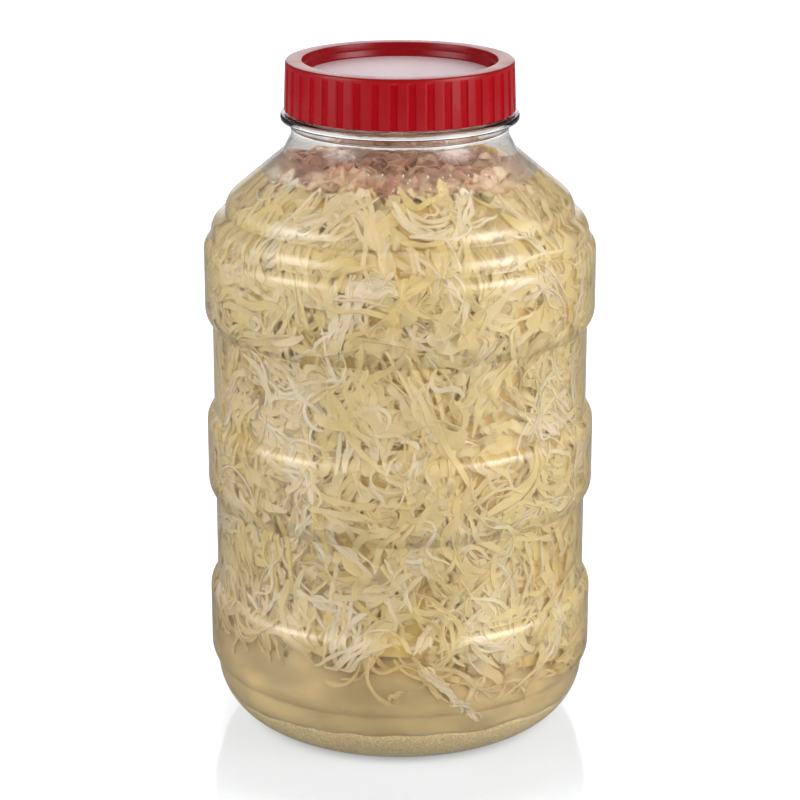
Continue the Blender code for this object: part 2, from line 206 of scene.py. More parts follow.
def edge_arc(outer, inner, rounding, crease_z, inset, parts, side):
    """Rounded edge between an upright wall and a crease, side 1 for an upper edge and -1 for a lower one."""
    centre_z = crease_z - side * rounding * math.sin(math.acos(1.0 - (outer - inner) / rounding))
    small = rounding - inset
    swing = math.acos(max(-1.0, 1.0 - (outer - inner) / small))
    start, end = (swing, 0.0) if side > 0 else (0.0, -swing)
    return arc(outer - rounding, centre_z, small, start, end, parts)


def body_side(inset, parts=6, heel_parts=14):
    """Side of the jar from the cone down to the base, moved in by inset."""
    jar = settings("jar_sizes")
    normal = math.pi / 2.0 - jar.cone_slope
    round_r = jar.tier_1_r - jar.tier_round
    tangent_r = round_r + jar.tier_round * math.cos(normal)
    tangent_z = jar.cone_z - (tangent_r - jar.cone_r) * math.tan(jar.cone_slope)
    round_z = tangent_z - jar.tier_round * math.sin(normal)
    points = [(jar.cone_r - 0.80 * inset, jar.cone_z - 0.60 * inset)]
    points += arc(round_r, round_z, jar.tier_round - inset, normal, 0.0, parts)
    points += edge_arc(jar.tier_2_r, jar.tier_1_r, jar.tier_round, jar.tier_1_z, inset, parts, 1)
    bands = [
        (jar.tier_2_r, jar.tier_2_z, jar.recess_r, jar.band_1_foot_z),
        (jar.recess_r, jar.band_2_top_z, jar.recess_r, jar.band_2_foot_z),
        (jar.recess_r, jar.band_3_top_z, jar.heel_r, jar.band_3_foot_z),
    ]
    for top_r, top_z, foot_r, foot_z in bands:
        points += edge_arc(jar.band_r, top_r, jar.band_top_round, top_z, inset, parts, 1)
        points += edge_arc(jar.band_r, foot_r, jar.band_foot_round, foot_z, inset, parts, -1)
    floor = math.asin((jar.heel_round - inset) / jar.heel_round)
    stop = -min(floor, math.radians(80.0))
    heel = jar.heel_round
    points += arc(jar.heel_r - heel, heel, heel - inset, 0.0, stop, heel_parts)
    return points


def soften_creases(points, reach):
    """Replace each inward corner of a profile by a small fillet of three points."""
    out = [points[0]]
    for before, here, after in zip(points, points[1:], points[2:]):
        a, b, c = Vector(before), Vector(here), Vector(after)
        back, on = a - b, c - b
        if back.length > 2.2 * reach and on.length > 1.4 * reach and back.angle(on) < math.radians(150):
            p = b + back.normalized() * reach
            q = b + on.normalized() * reach
            out += [tuple(p), tuple(0.25 * p + 0.5 * b + 0.25 * q), tuple(q)]
        else:
            out.append(here)
    out.append(points[-1])
    return out


def full_spin(bm, geom, steps):
    bmesh.ops.spin(
        bm, geom=geom, cent=(0, 0, 0), axis=(0, 0, 1), angle=FULL_TURN, steps=steps, use_merge=True
    )


def spun(points, turns):
    """Closed body turned from a profile that starts and ends on the axis."""
    bm = bmesh.new()
    verts = [bm.verts.new((r, 0.0, z)) for r, z in points]
    edges = [bm.edges.new(pair) for pair in zip(verts, verts[1:])]
    full_spin(bm, verts + edges, turns)
    bmesh.ops.remove_doubles(bm, verts=bm.verts, dist=0.000004)
    bmesh.ops.recalc_face_normals(bm, faces=bm.faces)
    return bm


def next_ring(bm, edges):
    """Extrude a ring of edges; gives the new ring's points and edges."""
    made = bmesh.ops.extrude_edge_only(bm, edges=edges)["geom"]
    fresh = {item for item in made if isinstance(item, bmesh.types.BMVert)}
    edges = [e for e in made if isinstance(e, bmesh.types.BMEdge) and all(v in fresh for v in e.verts)]
    return fresh, edges


def link_object(name, data):
    obj = bpy.data.objects.new(name, data)
    bpy.context.scene.collection.objects.link(obj)
    return obj


def finish_piece(name, bm, material, nodes=(), sharp=40.0):
    """Turn a bmesh into a finished piece that rides on the root body."""
    mesh = bpy.data.meshes.new(name)
    bm.to_mesh(mesh)
    bm.free()
    return finish_mesh(name, mesh, material, nodes, sharp)


def finish_mesh(name, mesh, material, nodes=(), sharp=40.0):
    """Link a mesh as a piece; nodes are the solids that it replaces."""
    mesh.materials.append(material)
    mesh.shade_smooth()
    mesh.set_sharp_from_angle(angle=math.radians(sharp))
    obj = link_object(name, mesh)
    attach(obj, "root")
    if nodes:
        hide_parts(*nodes)
    return obj


# Surfaces of the contents


class Wall:
    """Inner wall as smooth radius and normal over height."""

    def __init__(self):
        jar = settings("jar_sizes")
        side = body_side(jar.wall)
        heights = np.array([z for _, z in side])[::-1]
        radii = np.array([r for r, _ in side])[::-1]
        self.z = np.linspace(0.002, jar.cone_z, 1400)
        reach = 6
        padded = np.pad(np.interp(self.z, heights, radii), reach, mode="edge")
        low = np.lib.stride_tricks.sliding_window_view(padded, 2 * reach + 1).min(axis=1)
        self.r = self.smooth(low, reach)
        self.slope = self.smooth(np.gradient(self.r, self.z), 30)

    @staticmethod
    def smooth(values, reach):
        """Running mean over reach steps to either side."""
        kernel = np.hanning(2 * reach + 1)
        kernel /= kernel.sum()
        return np.convolve(np.pad(values, reach, mode="edge"), kernel, mode="valid")

    def radius(self, height):
        return np.interp(height, self.z, self.r)

    def lean(self, height):
        return np.interp(height, self.z, self.slope)


def sediment_top(x, y):
    fill = settings("fill_sizes")
    tilt = -fill.sediment_tilt * y / TILT_R
    ripple = 0.0007 * np.sin(95.0 * x + 0.6) * np.cos(80.0 * y + 1.1)
    fine = 0.0004 * np.sin(310.0 * x + 2.0 * np.sin(140.0 * y)) + 0.0003 * np.cos(430.0 * y + 1.7)
    return fill.sediment_z + tilt + ripple + fine


def heap_foot(x, y):
    fill = settings("fill_sizes")
    sag = -0.0105 * x / TILT_R
    front = -0.0080 * y / TILT_R
    ripple = 0.0018 * np.sin(80.0 * x + 1.3) + 0.0014 * np.cos(90.0 * y + 0.4)
    return fill.foot_z + sag + front + ripple


def heap_top(x, y):
    fill = settings("fill_sizes")
    ripple = 0.0030 * np.sin(115.0 * x + 0.5) * np.cos(97.0 * y)
    return fill.top_z + ripple + 0.0014 * np.sin(190.0 * y + 2.0)


def heap_edge(p):
    """Uneven height that the shreds reach against the wall, p along its girth."""
    peaks = 0.0016 * np.sin(260.0 * p + 0.5) + 0.0013 * np.sin(613.0 * p + 2.0)
    peaks = peaks + 0.0011 * np.sin(1130.0 * p + 1.0)
    return settings("fill_sizes").top_z + 0.0012 + peaks


# Shreds


def ribbon_template(parts):
    """Closed flat strip: faces, and for each corner its share along, across and through."""
    bm = bmesh.new()
    bmesh.ops.create_grid(bm, x_segments=parts, y_segments=1, size=0.5)
    bmesh.ops.solidify(bm, geom=bm.faces[:], thickness=1.0)
    bmesh.ops.recalc_face_normals(bm, faces=bm.faces)
    co = np.array([vert.co[:] for vert in bm.verts])
    faces = [[vert.index for vert in face.verts] for face in bm.faces]
    bm.free()
    along = co[:, 0] + 0.5
    across = co[:, 1] * 2.0
    through = (co[:, 2] - co[:, 2].min()) / max(np.ptp(co[:, 2]), 1e-9) * 2.0 - 1.0
    return along, across, through, np.array(faces)


def girth_angle(p):
    """Angle at arc length p, counted from the front."""
    return p / GIRTH_R - math.pi / 2.0


def side_frame(wall, p, q, depth):
    """Point and outward normal at arc length p and height q, depth behind the wall."""
    angle = girth_angle(p)
    radius = wall.radius(q)
    lean = wall.lean(q)
    size = np.sqrt(1.0 + lean * lean)
    out = np.stack([np.cos(angle) / size, np.sin(angle) / size, -lean / size], axis=-1)
    point = np.stack([radius * np.cos(angle), radius * np.sin(angle), q], axis=-1)
    return point - out * depth[..., None], out


def top_frame(wall, p, q, depth):
    """Point and upward normal on the heap's top; depth is counted down from the heap."""
    point = np.stack([p, q, heap_top(p, q) - depth], axis=-1)
    out = np.zeros_like(point)
    out[..., 2] = 1.0
    return point, out


def flow(seed, scale, size):
    """Smooth field of headings that turns neighbouring shreds alike."""
    def heading(p, q):
        rng = np.random.default_rng(seed)
        total = np.zeros_like(p)
        for _ in range(5):
            k = rng.normal(0.0, scale, 2)
            total += np.sin(k[0] * p + k[1] * q + rng.uniform(0.0, FULL_TURN))
        return total * size
    return heading


def layers(first, last, power=1.3):
    """Depths behind the surface, drawn between first and last."""
    def layer(rng, count):
        return first + (last - first) * rng.uniform(0.0, 1.0, count) ** power
    return layer


def bundles(rng, p, q, kind):
    """Starts of strips in small bundles that lie, bend and sit alike."""
    count = len(p)
    size = rng.integers(1, kind["bundle"] + 1, count)
    first = np.cumsum(size) - size
    heading = kind["heading"](p, q) + rng.normal(0.0, kind["spread"], count)
    bend = rng.normal(0.0, kind["bend"], count)
    depth = kind["layer"](rng, count)
    owner = np.repeat(np.arange(count), size)[:count]
    place = (np.arange(len(owner)) - first[owner]) - 0.5 * (size[owner] - 1)
    across = place * kind["width"] * rng.uniform(0.45, 1.0, len(owner))
    along = rng.normal(0.0, 0.16, len(owner)) * kind["length"]
    turn = heading[owner]
    return {
        "p": p[owner] - np.sin(turn) * across + np.cos(turn) * along,
        "q": q[owner] + np.cos(turn) * across + np.sin(turn) * along,
        "heading": turn + rng.normal(0.0, 0.16, len(owner)),
        "bend": bend[owner] + rng.normal(0.0, 0.30, len(owner)),
        "depth": depth[owner] + rng.uniform(-0.0005, 0.0005, len(owner)),
    }


def unit(vectors):
    return vectors / (np.linalg.norm(vectors, axis=-1, keepdims=True) + 1e-12)


def lay_ribbons(rng, wall, surface, starts, kind, limit):
    """Corner positions and attributes of flat curved strips on a surface."""
    parts = kind["parts"]
    along, across, through, faces = ribbon_template(parts)
    count = len(starts["p"])
    u = np.linspace(0.0, 1.0, parts + 1)[None, :]

    def draw(low, high):
        return rng.uniform(low, high, (count, 1))

    size = kind["length"] * np.exp(rng.normal(0.0, 0.38, (count, 1)))
    size = np.clip(size, 0.4 * kind["length"], 2.2 * kind["length"])
    width = kind["width"] * np.exp(rng.normal(0.0, 0.28, (count, 1)))
    thick = kind["thick"] * draw(0.75, 1.3)
    heading = starts["heading"][:, None]
    bend = starts["bend"][:, None] * np.sqrt(size / kind["length"])
    sway = rng.normal(0.0, kind["sway"], (count, 1))
    waves = draw(0.7, 2.2)
    phase = draw(0.0, FULL_TURN)
    theta = heading + bend * (u - 0.5) + sway * np.sin(FULL_TURN * waves * u + phase)
    step = size / parts
    p = np.cumsum(np.cos(theta) * step, axis=1)
    q = np.cumsum(np.sin(theta) * step, axis=1)
    p += starts["p"][:, None] - p.mean(axis=1, keepdims=True)
    q += starts["q"][:, None] - q.mean(axis=1, keepdims=True)
    q = limit(p, q)
    roll = rng.normal(0.0, kind["roll"], (count, 1))
    roll = roll + rng.normal(0.0, kind["twist"], (count, 1)) * (u - 0.5)
    roll += kind["ruffle"] * draw(0.2, 1.0) * np.sin(FULL_TURN * draw(1.0, 3.2) * u + draw(0.0, 6.28))
    taper = 0.5 + 0.5 * np.minimum(1.0, np.minimum(u, 1.0 - u) / 0.16) ** 0.6
    wide = width * taper * (1.0 + 0.18 * np.sin(FULL_TURN * draw(0.8, 2.0) * u + phase))
    depth = 0.0004 + np.abs(np.sin(roll)) * wide * 0.5 + thick * 0.5
    depth = depth + starts["depth"][:, None]
    lift = kind["lift"] * draw(0.0, 1.0)
    depth = depth + lift * (0.5 + 0.5 * np.sin(FULL_TURN * draw(0.8, 2.4) * u + phase))
    depth = depth + kind["tuck"] * np.abs(2.0 * u - 1.0) ** 3 * draw(0.0, 1.0)
    centre, out = surface(wall, p, q, depth)
    tangent = unit(np.gradient(centre, axis=1))
    side = unit(np.cross(out, tangent))
    up = np.cross(tangent, side)
    cosine, sine = np.cos(roll)[..., None], np.sin(roll)[..., None]
    flat = side * cosine + up * sine
    face = up * cosine - side * sine
    index = np.rint(along * parts).astype(int)
    corners = centre[:, index]
    corners = corners + flat[:, index] * (across[None, :] * wide[:, index] * 0.5)[..., None]
    corners = corners + face[:, index] * (through[None, :] * thick * 0.5)[..., None]
    tone = np.repeat(np.clip(rng.normal(0.45, 0.26, (count, 1)), 0.0, 1.0), len(along), axis=1)
    # Murk grows with depth behind the wall: the brine's murk and painted shade between the layers.
    murk = depth[:, index] / 0.012
    if "fade" in kind:
        murk = murk + kind["fade"](p, q)[:, index]
    murk = np.clip(murk, 0.0, 1.0)
    uv = np.stack(
        [np.repeat(across[None, :] * 0.5 + 0.5, count, axis=0), along[None, :] * size / 0.01], axis=-1
    )
    return corners, faces, tone, murk, uv


def ribbon_mesh(name, corners, faces, tone, murk, uv):
    """One mesh of many ribbons, with tone and murk attributes and a UV map."""
    count, per = corners.shape[:2]
    mesh = bpy.data.meshes.new(name)
    mesh.vertices.add(count * per)
    mesh.vertices.foreach_set("co", corners.reshape(-1).astype(np.float32))
    loops = (faces[None, :, :] + np.arange(count)[:, None, None] * per).reshape(-1)
    total = count * len(faces)
    mesh.loops.add(total * 4)
    mesh.loops.foreach_set("vertex_index", loops.astype(np.int32))
    mesh.polygons.add(total)
    mesh.polygons.foreach_set("loop_start", np.arange(0, total * 4, 4, dtype=np.int32))
    for label, values in (("tone", tone), ("murk", murk)):
        layer = mesh.attributes.new(label, "FLOAT", "POINT")
        layer.data.foreach_set("value", values.reshape(-1).astype(np.float32))
    layer = mesh.uv_layers.new(name="strip")
    layer.data.foreach_set("uv", uv.reshape(-1, 2)[loops].reshape(-1).astype(np.float32))
    mesh.update(calc_edges=True)
    mesh.validate()
    return mesh


# Materials


def new_group(name, inputs, outputs):
    group = bpy.data.node_groups.new(name, "ShaderNodeTree")
    for label, kind, default in inputs:
        socket = group.interface.new_socket(label, in_out="INPUT", socket_type=kind)
        socket.default_value = default
    for label, kind in outputs:
        group.interface.new_socket(label, in_out="OUTPUT", socket_type=kind)
    return group, group.nodes.new("NodeGroupInput"), group.nodes.new("NodeGroupOutput")


def add(tree, kind, links=(), **values):
    """New node; values set its properties or its inputs, links wire inputs to sockets."""
    node = tree.nodes.new(kind)
    for key, value in values.items():
        if hasattr(node, key):
            setattr(node, key, value)
        else:
            node.inputs[key.replace("_", " ")].default_value = value
    for key, socket in dict(links).items():
        tree.links.new(socket, node.inputs[key])
    return node


def feed(tree, socket, value):
    """Set an input to a number or a colour, or wire it to another node's output."""
    if isinstance(value, (int, float)):
        socket.default_value = value
    elif isinstance(value, tuple):
        socket.default_value = (*value, 1.0)
    else:
        tree.links.new(value, socket)


def math_node(tree, operation, a, b=None, clamp=False):
    node = add(tree, "ShaderNodeMath", operation=operation, use_clamp=clamp)
    feed(tree, node.inputs[0], a)
    if b is not None:
        feed(tree, node.inputs[1], b)
    return node.outputs[0]


def mix_colour(tree, factor, a, b):
    node = add(tree, "ShaderNodeMix", data_type="RGBA")
    for key, value in ((0, factor), (6, a), (7, b)):
        feed(tree, node.inputs[key], value)
    return node.outputs[2]


def mix_shader(tree, share, first, second):
    node = add(tree, "ShaderNodeMixShader")
    for key, value in enumerate((share, first.outputs[0], second.outputs[0])):
        feed(tree, node.inputs[key], value)
    return node


def ramp(tree, value, low, high, start=0.0, end=1.0):
    """Smooth step of value from start at low to end at high."""
    node = add(
        tree, "ShaderNodeMapRange", {"Value": value}, interpolation_type="SMOOTHSTEP",
        From_Min=low, From_Max=high, To_Min=start, To_Max=end,
    )
    return node.outputs[0]


def noise_at(tree, scale, detail):
    source = tree.nodes.new("ShaderNodeTexCoord").outputs["Object"]
    return add(tree, "ShaderNodeTexNoise", {"Vector": source}, Scale=scale, Detail=detail).outputs[0]


def blown_skin_group():
    """Faint waviness of moulded and blown plastic."""
    group, entry, leave = new_group(
        "blown_skin",
        [("Scale", "NodeSocketFloat", 60.0), ("Fine", "NodeSocketFloat", 900.0)],
        [("Height", "NodeSocketFloat"), ("Scuff", "NodeSocketFloat")],
    )
    source = group.nodes.new("ShaderNodeTexCoord").outputs["Object"]
    broad = add(group, "ShaderNodeTexNoise", {"Vector": source, "Scale": entry.outputs["Scale"]}, Detail=2.0)
    fine = add(group, "ShaderNodeTexNoise", {"Vector": source, "Scale": entry.outputs["Fine"]}, Detail=2.0)
    small = math_node(group, "MULTIPLY", fine.outputs[0], 0.06)
    group.links.new(math_node(group, "ADD", broad.outputs[0], small), leave.inputs["Height"])
    group.links.new(ramp(group, broad.outputs[0], 0.35, 0.75), leave.inputs["Scuff"])
    return group


def tissue_group():
    """Cabbage tissue: tone for each strip, pale edges, fibres along it with painted shade in their grooves,
    and murk with painted shade that deepens behind the wall.
    """
    grey = (0.5, 0.5, 0.5, 1.0)
    group, entry, leave = new_group(
        "cabbage_tissue",
        [
            ("Pale", "NodeSocketColor", grey),
            ("Deep", "NodeSocketColor", grey),
            ("Murk", "NodeSocketColor", grey),
            ("Murk Share", "NodeSocketFloat", 0.8),
        ],
        [("Color", "NodeSocketColor"), ("Height", "NodeSocketFloat")],
    )
    tone = add(group, "ShaderNodeAttribute", attribute_name="tone").outputs["Fac"]
    depth = add(group, "ShaderNodeAttribute", attribute_name="murk").outputs["Fac"]
    uv = add(group, "ShaderNodeUVMap", uv_map="strip").outputs[0]
    split = add(group, "ShaderNodeSeparateXYZ", {"Vector": uv})
    along = add(group, "ShaderNodeMapping", {"Vector": uv}, Scale=(9.0, 0.7, 1.0)).outputs[0]
    fibre = add(group, "ShaderNodeTexNoise", {"Vector": along}, Scale=1.0, Detail=2.0).outputs[0]
    patch = noise_at(group, 95.0, 2.0)
    blend = math_node(group, "MULTIPLY", tone, 0.65)
    blend = math_node(group, "ADD", blend, math_node(group, "MULTIPLY", patch, 0.4))
    source = group.nodes.new("ShaderNodeTexCoord").outputs["Object"]
    place = add(group, "ShaderNodeSeparateXYZ", {"Vector": source})
    aside = math_node(group, "ABSOLUTE", math_node(group, "ADD", place.outputs[0], 0.030))
    region = math_node(group, "ADD", noise_at(group, 40.0, 2.0), math_node(group, "MULTIPLY", aside, 2.2))
    blend = math_node(group, "ADD", blend, ramp(group, region, 0.36, 0.78, -0.45, 0.35), clamp=True)
    body = mix_colour(group, blend, entry.outputs["Pale"], entry.outputs["Deep"])
    off = math_node(group, "ABSOLUTE", math_node(group, "SUBTRACT", split.outputs[0], 0.5))
    rim = ramp(group, off, 0.20, 0.5, 0.0, 0.48)
    body = mix_colour(group, rim, body, entry.outputs["Pale"])
    streak = ramp(group, fibre, 0.50, 0.72, 0.0, 0.45)
    body = mix_colour(group, streak, body, entry.outputs["Pale"])
    # Painted shade: where the fibre pattern dips, as the bump sinks it, the colour turns towards murk.
    crease = ramp(group, fibre, 0.30, 0.47, 0.24, 0.0)
    body = mix_colour(group, crease, body, entry.outputs["Murk"])
    # Deeper strips fade towards the murk colour: the brine's murk and painted shade between the layers.
    hide = math_node(group, "MULTIPLY", ramp(group, depth, 0.10, 0.95), entry.outputs["Murk Share"])
    body = mix_colour(group, hide, body, entry.outputs["Murk"])
    group.links.new(body, leave.inputs["Color"])
    height = math_node(group, "ADD", fibre, math_node(group, "MULTIPLY", patch, 0.5))
    group.links.new(height, leave.inputs["Height"])
    return group


def cloud_group():
    """Soft clouds and fine grains for what has settled."""
    group, entry, leave = new_group(
        "settled_cloud",
        [("Cloud Scale", "NodeSocketFloat", 30.0), ("Grain Scale", "NodeSocketFloat", 1500.0)],
        [("Cloud", "NodeSocketFloat"), ("Grain", "NodeSocketFloat"), ("Dark", "NodeSocketFloat")],
    )
    source = group.nodes.new("ShaderNodeTexCoord").outputs["Object"]
    flat = add(group, "ShaderNodeMapping", {"Vector": source}, Scale=(1.0, 1.0, 1.7)).outputs[0]
    broad, small = entry.outputs["Cloud Scale"], entry.outputs["Grain Scale"]
    cloud = add(group, "ShaderNodeTexNoise", {"Vector": flat, "Scale": broad}, Detail=3.0)
    grain = add(group, "ShaderNodeTexNoise", {"Vector": source, "Scale": small}, Detail=2.0)
    dark = add(group, "ShaderNodeTexVoronoi", {"Vector": source, "Scale": small})
    few = add(group, "ShaderNodeSeparateColor", {"Color": dark.outputs["Color"]}).outputs[0]
    near = ramp(group, dark.outputs["Distance"], 0.15, 0.45, 1.0, 0.0)
    speck = math_node(group, "MULTIPLY", near, ramp(group, few, 0.72, 0.80))
    group.links.new(ramp(group, cloud.outputs[0], 0.30, 0.72), leave.inputs["Cloud"])
    group.links.new(ramp(group, grain.outputs[0], 0.35, 0.70), leave.inputs["Grain"])
    group.links.new(speck, leave.inputs["Dark"])
    return group


GROUP_NAMES = {
    blown_skin_group: "blown_skin",
    tissue_group: "cabbage_tissue",
    cloud_group: "settled_cloud",
}


def principled(name, **values):
    material = bpy.data.materials.new(name)
    material.use_nodes = True
    tree = material.node_tree
    shader = tree.nodes["Principled BSDF"]
    for key, value in values.items():
        shader.inputs[key.replace("_", " ")].default_value = value
    return material, tree, shader


def use_group(tree, maker, **values):
    """Place a shared group, which maker builds on its first use."""
    node = tree.nodes.new("ShaderNodeGroup")
    node.node_tree = bpy.data.node_groups.get(GROUP_NAMES[maker]) or maker()
    for key, value in values.items():
        node.inputs[key.replace("_", " ")].default_value = value
    return node


def bump(tree, shader, height, strength, distance):
    node = add(tree, "ShaderNodeBump", {"Height": height}, Strength=strength, Distance=distance)
    tree.links.new(node.outputs[0], shader.inputs["Normal"])


def pass_light(tree, shader, tint):
    """Let lamp light through a clear or thin body, so that what lies behind is lit evenly."""
    path = tree.nodes.new("ShaderNodeLightPath")
    clear = add(tree, "ShaderNodeBsdfTransparent", Color=(*tint, 1.0))
    blend = mix_shader(tree, path.outputs["Is Shadow Ray"], shader, clear)
    tree.links.new(blend.outputs[0], tree.nodes["Material Output"].inputs["Surface"])


def clear_plastic(name, rough, edge):
    """Clear plastic; edge is its tint at a low angle: the tint of the long way through the wall, made strong
    as painted shade that darkens the jar's sides.
    """
    tint = settings("jar_colours").clear
    material, tree, shader = principled(
        name, Base_Color=(*tint, 1.0), Roughness=rough, IOR=1.5, Transmission_Weight=1.0
    )
    skin = use_group(tree, blown_skin_group, Scale=45.0, Fine=400.0)
    bump(tree, shader, skin.outputs["Height"], 0.14, 0.0015)
    # Painted shade: at a low angle the tint turns to the edge colour on faces that do not look down, so the
    # jar's sides look darker.
    low = add(tree, "ShaderNodeLayerWeight", Blend=0.5).outputs["Facing"]
    upright = add(tree, "ShaderNodeAttribute", attribute_name="upright").outputs["Fac"]
    share = math_node(tree, "MULTIPLY", ramp(tree, low, 0.48, 0.92), upright)
    tone = mix_colour(tree, share, tuple(tint), tuple(edge))
    tree.links.new(tone, shader.inputs["Base Color"])
    pass_light(tree, shader, (0.97, 0.97, 0.97))
    return material


def clear_brine():
    tint = settings("jar_colours").brine
    material, tree, shader = principled(
        "clear_brine", Base_Color=(*tint, 1.0), Roughness=0.0, IOR=1.33, Transmission_Weight=1.0
    )
    bump(tree, shader, noise_at(tree, 40.0, 1.0), 0.04, 0.001)
    pass_light(tree, shader, (0.985, 0.975, 0.94))
    return material


def red_plastic(name, sheen, smooth, rough, level=0.3, haze=None):
    """Moulded red plastic; faces that look up carry a pale sheen at a low angle: a sheen lobe, and where a
    sheen colour is given, a painted sheen in the base colour.
    """
    base = settings("jar_colours").cap
    material, tree, shader = principled(
        name, IOR=1.5, Specular_IOR_Level=level,
        Sheen_Weight=sheen, Sheen_Roughness=0.30, Sheen_Tint=(1.0, 0.93, 0.95, 1.0),
    )
    skin = use_group(tree, blown_skin_group, Scale=70.0, Fine=2600.0)
    worn = tuple(min(1.0, c * 1.12 + 0.002) for c in base)
    tone = mix_colour(tree, math_node(tree, "MULTIPLY", skin.outputs["Scuff"], 0.35), tuple(base), worn)
    # Painted sheen: at a low angle the base colour turns pale.
    if haze is not None:
        low = add(tree, "ShaderNodeLayerWeight", Blend=0.5).outputs["Facing"]
        tone = mix_colour(tree, ramp(tree, low, 0.55, 0.85), tone, tuple(haze))
    tree.links.new(tone, shader.inputs["Base Color"])
    tree.links.new(ramp(tree, skin.outputs["Scuff"], 0.0, 1.0, smooth, rough), shader.inputs["Roughness"])
    bump(tree, shader, skin.outputs["Height"], 0.04, 0.0003)
    return material


def cabbage(name, pale, deep, murk_share):
    colours = settings("jar_colours")
    material, tree, shader = principled(name, Roughness=0.30, IOR=1.38)
    tissue = use_group(
        tree, tissue_group, Pale=(*pale, 1.0), Deep=(*deep, 1.0), Murk=(*colours.murk, 1.0),
        Murk_Share=murk_share,
    )
    tree.links.new(tissue.outputs["Color"], shader.inputs["Base Color"])
    bump(tree, shader, tissue.outputs["Height"], 0.20, 0.0004)
    thin = add(tree, "ShaderNodeBsdfTranslucent", {"Color": tissue.outputs["Color"]})
    pass_light(tree, mix_shader(tree, 0.42, shader, thin), (0.915, 0.89, 0.79))
    return material


def bubble_film():
    """Pale painted highlight for the rim of a bubble and for a drop against the wall."""
    material, tree, shader = principled("bubble_film", Roughness=0.12, IOR=1.33, Alpha=0.55)
    patch = noise_at(tree, 300.0, 2.0)
    tone = mix_colour(tree, ramp(tree, patch, 0.3, 0.7), (0.97, 0.92, 0.78), (0.90, 0.82, 0.60))
    tree.links.new(tone, shader.inputs["Base Color"])
    bump(tree, shader, patch, 0.1, 0.0002)
    return material


def core_material():
    colours = settings("jar_colours")
    material, tree, shader = principled("packed_cabbage", Roughness=0.6)
    blotch = noise_at(tree, 140.0, 4.0)
    # The packed core is coloured from the murk colour, so it carries the same painted shade as the deep
    # shreds.
    light = tuple(0.4 * a + 0.6 * b for a, b in zip(colours.murk, colours.yellow))
    tone = mix_colour(tree, ramp(tree, blotch, 0.35, 0.7), tuple(colours.murk), light)
    tree.links.new(tone, shader.inputs["Base Color"])
    bump(tree, shader, blotch, 0.4, 0.002)
    return material


def shade(tint, share):
    """A colour times share, none of it over 1."""
    return tuple(min(1.0, c * share) for c in tint)


def cloudy_brine():
    colours = settings("jar_colours")
    material, tree, shader = principled(
        "cloudy_brine", Roughness=0.5, IOR=1.33, Specular_IOR_Level=0.1, Subsurface_Weight=1.0,
        Subsurface_Radius=(1.0, 0.85, 0.6), Subsurface_Scale=0.008,
    )
    settled = use_group(tree, cloud_group, Cloud_Scale=34.0, Grain_Scale=2200.0)
    cloud = colours.cloud
    tone = mix_colour(tree, settled.outputs["Cloud"], shade(cloud, 0.86), shade(cloud, 1.25))
    tree.links.new(tone, shader.inputs["Base Color"])
    bump(tree, shader, settled.outputs["Cloud"], 0.05, 0.002)
    return material


def sediment_material():
    colours = settings("jar_colours")
    material, tree, shader = principled(
        "sediment", Roughness=0.8, Specular_IOR_Level=0.1, Subsurface_Weight=0.5,
        Subsurface_Radius=(1.0, 0.8, 0.5), Subsurface_Scale=0.004,
    )
    settled = use_group(tree, cloud_group, Cloud_Scale=60.0, Grain_Scale=1100.0)
    grains = colours.sediment
    tone = mix_colour(tree, settled.outputs["Grain"], shade(grains, 0.88), shade(grains, 1.25))
    specks = math_node(tree, "MULTIPLY", settled.outputs["Dark"], 0.75)
    tone = mix_colour(tree, specks, tone, shade(grains, 0.45))
    tree.links.new(tone, shader.inputs["Base Color"])
    bump(tree, shader, settled.outputs["Grain"], 0.5, 0.0006)
    return material


# Operators


class JAR_OT_clear_jar(bpy.types.Operator):
    """Blown clear jar with stepped shoulder, bands and rounded heel"""

    bl_idname = "jar.clear_jar"
    bl_label = "Clear jar"

    def execute(self, context):
        jar = settings("jar_sizes")
        colours = settings("jar_colours")
        inner = soften_creases(body_side(jar.wall), 0.0003)
        outer = soften_creases(body_side(0.0), EDGE)
        neck, foot = jar.neck_r, jar.neck_foot_z
        bore = neck - jar.neck_wall
        ring_round, bead, tilt = 0.0009, 0.0005, math.radians(70)
        mid = 0.5 * (jar.ring_top_z + jar.ring_foot_z)
        half = 0.5 * (jar.ring_top_z - jar.ring_foot_z)
        points = [(0.0, inner[-1][1])] + list(reversed(inner))
        points += [(bore + bead, foot - 0.0013), (bore, foot + 0.0006)]
        points += [(bore, jar.mouth_z - EDGE), (bore + EDGE, jar.mouth_z)]
        points += [(neck - EDGE, jar.mouth_z), (neck, jar.mouth_z - EDGE)]
        points += [(neck, jar.ring_top_z + EDGE), (neck + EDGE, jar.ring_top_z)]
        points += arc(jar.ring_r - ring_round, mid + half - ring_round, ring_round, math.pi / 2.0, 0.0, 4)
        points += arc(jar.ring_r - ring_round, mid - half + ring_round, ring_round, 0.0, -math.pi / 2.0, 4)
        points += [(neck + bead, jar.ring_foot_z), (neck, jar.ring_foot_z - bead)]
        points += arc(neck, foot + 0.0030, bead, tilt, -tilt, 4)
        points += [(neck, foot + 0.0008), (neck + EDGE, foot - 0.0010)]
        points += outer
        points += [(outer[-1][0] - 0.004, 0.0), (0.0, 0.0)]
        bm = spun(points, jar.turns)
        # Upright: 1 where the surface does not look down, 0 where it looks well down; it keeps the painted
        # edge shade off the feet of the bands.
        upright = bm.verts.layers.float.new("upright")
        for vert in bm.verts:
            vert[upright] = min(1.0, max(0.0, (vert.normal.z + 0.45) / 0.35))
        for face in bm.faces:
            if face.calc_center_median().z > jar.cone_z:
                face.material_index = 1
        body = clear_plastic("clear_plastic", 0.20, colours.clear_edge)
        piece = finish_piece("jar_clear", bm, body, ("jar",), 35.0)
        piece.data.materials.append(clear_plastic("clear_plastic_neck", 0.03, colours.clear))
        return {"FINISHED"}


